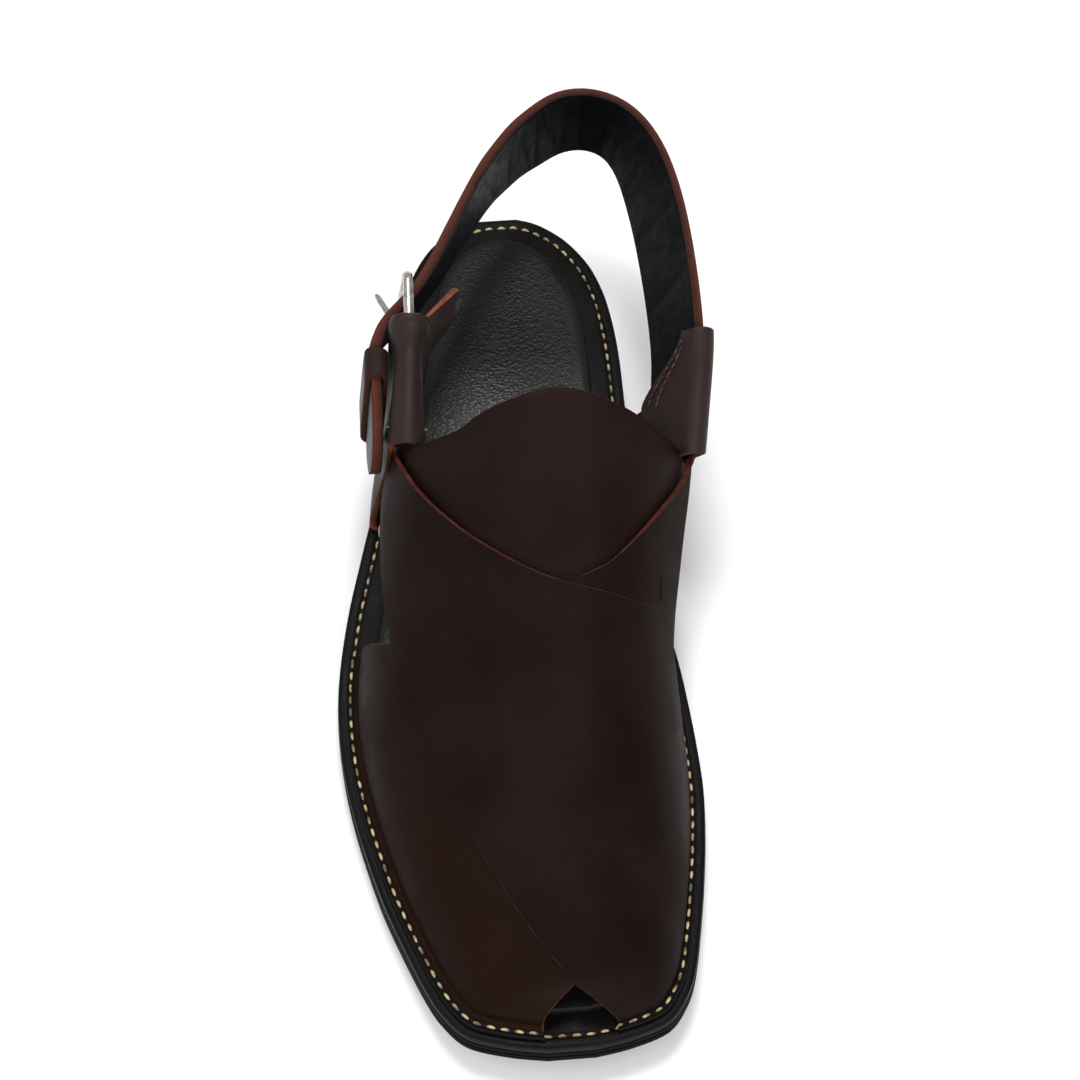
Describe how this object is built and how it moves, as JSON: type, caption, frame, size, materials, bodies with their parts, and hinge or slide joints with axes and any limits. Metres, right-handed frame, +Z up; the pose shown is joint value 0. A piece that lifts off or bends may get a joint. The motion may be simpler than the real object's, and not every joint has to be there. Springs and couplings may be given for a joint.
{
  "type": "peshawari chappal",
  "caption": "Right-foot leather sandal with crossed vamp straps, a peaked tongue, a stitched sole and a buckled heel strap.",
  "frame": {"origin": "on the floor, under the middle of the heel's ground face", "axes": "+Z up; -Y towards the toe, so +Y is along the length; +X towards the big-toe side of a right foot"},
  "size_m": [0.1194, 0.2947, 0.0922],
  "materials": {
    "sole_rubber": "satin black edge",
    "welt_leather": "waxed black edge with cream stitches",
    "insole_leather": "pebbled black with a soft sheen",
    "upper_leather": "smooth matte dark brown, red-brown cut edges",
    "strap_leather": "dark brown outside, black lining inside",
    "buckle_metal": "worn nickel"
  },
  "bodies": {
    "root": {"outsole": "sole_rubber", "heel": "sole_rubber", "welt": "welt_leather", "insole": "insole_leather", "upper": "upper_leather", "tongue": "upper_leather", "lateral_side_strap": "upper_leather", "medial_side_strap": "upper_leather", "heel_strap": "strap_leather", "keeper": "upper_leather", "buckle_frame": "buckle_metal", "buckle_prong": "buckle_metal"}
  },
  "joints": []
}
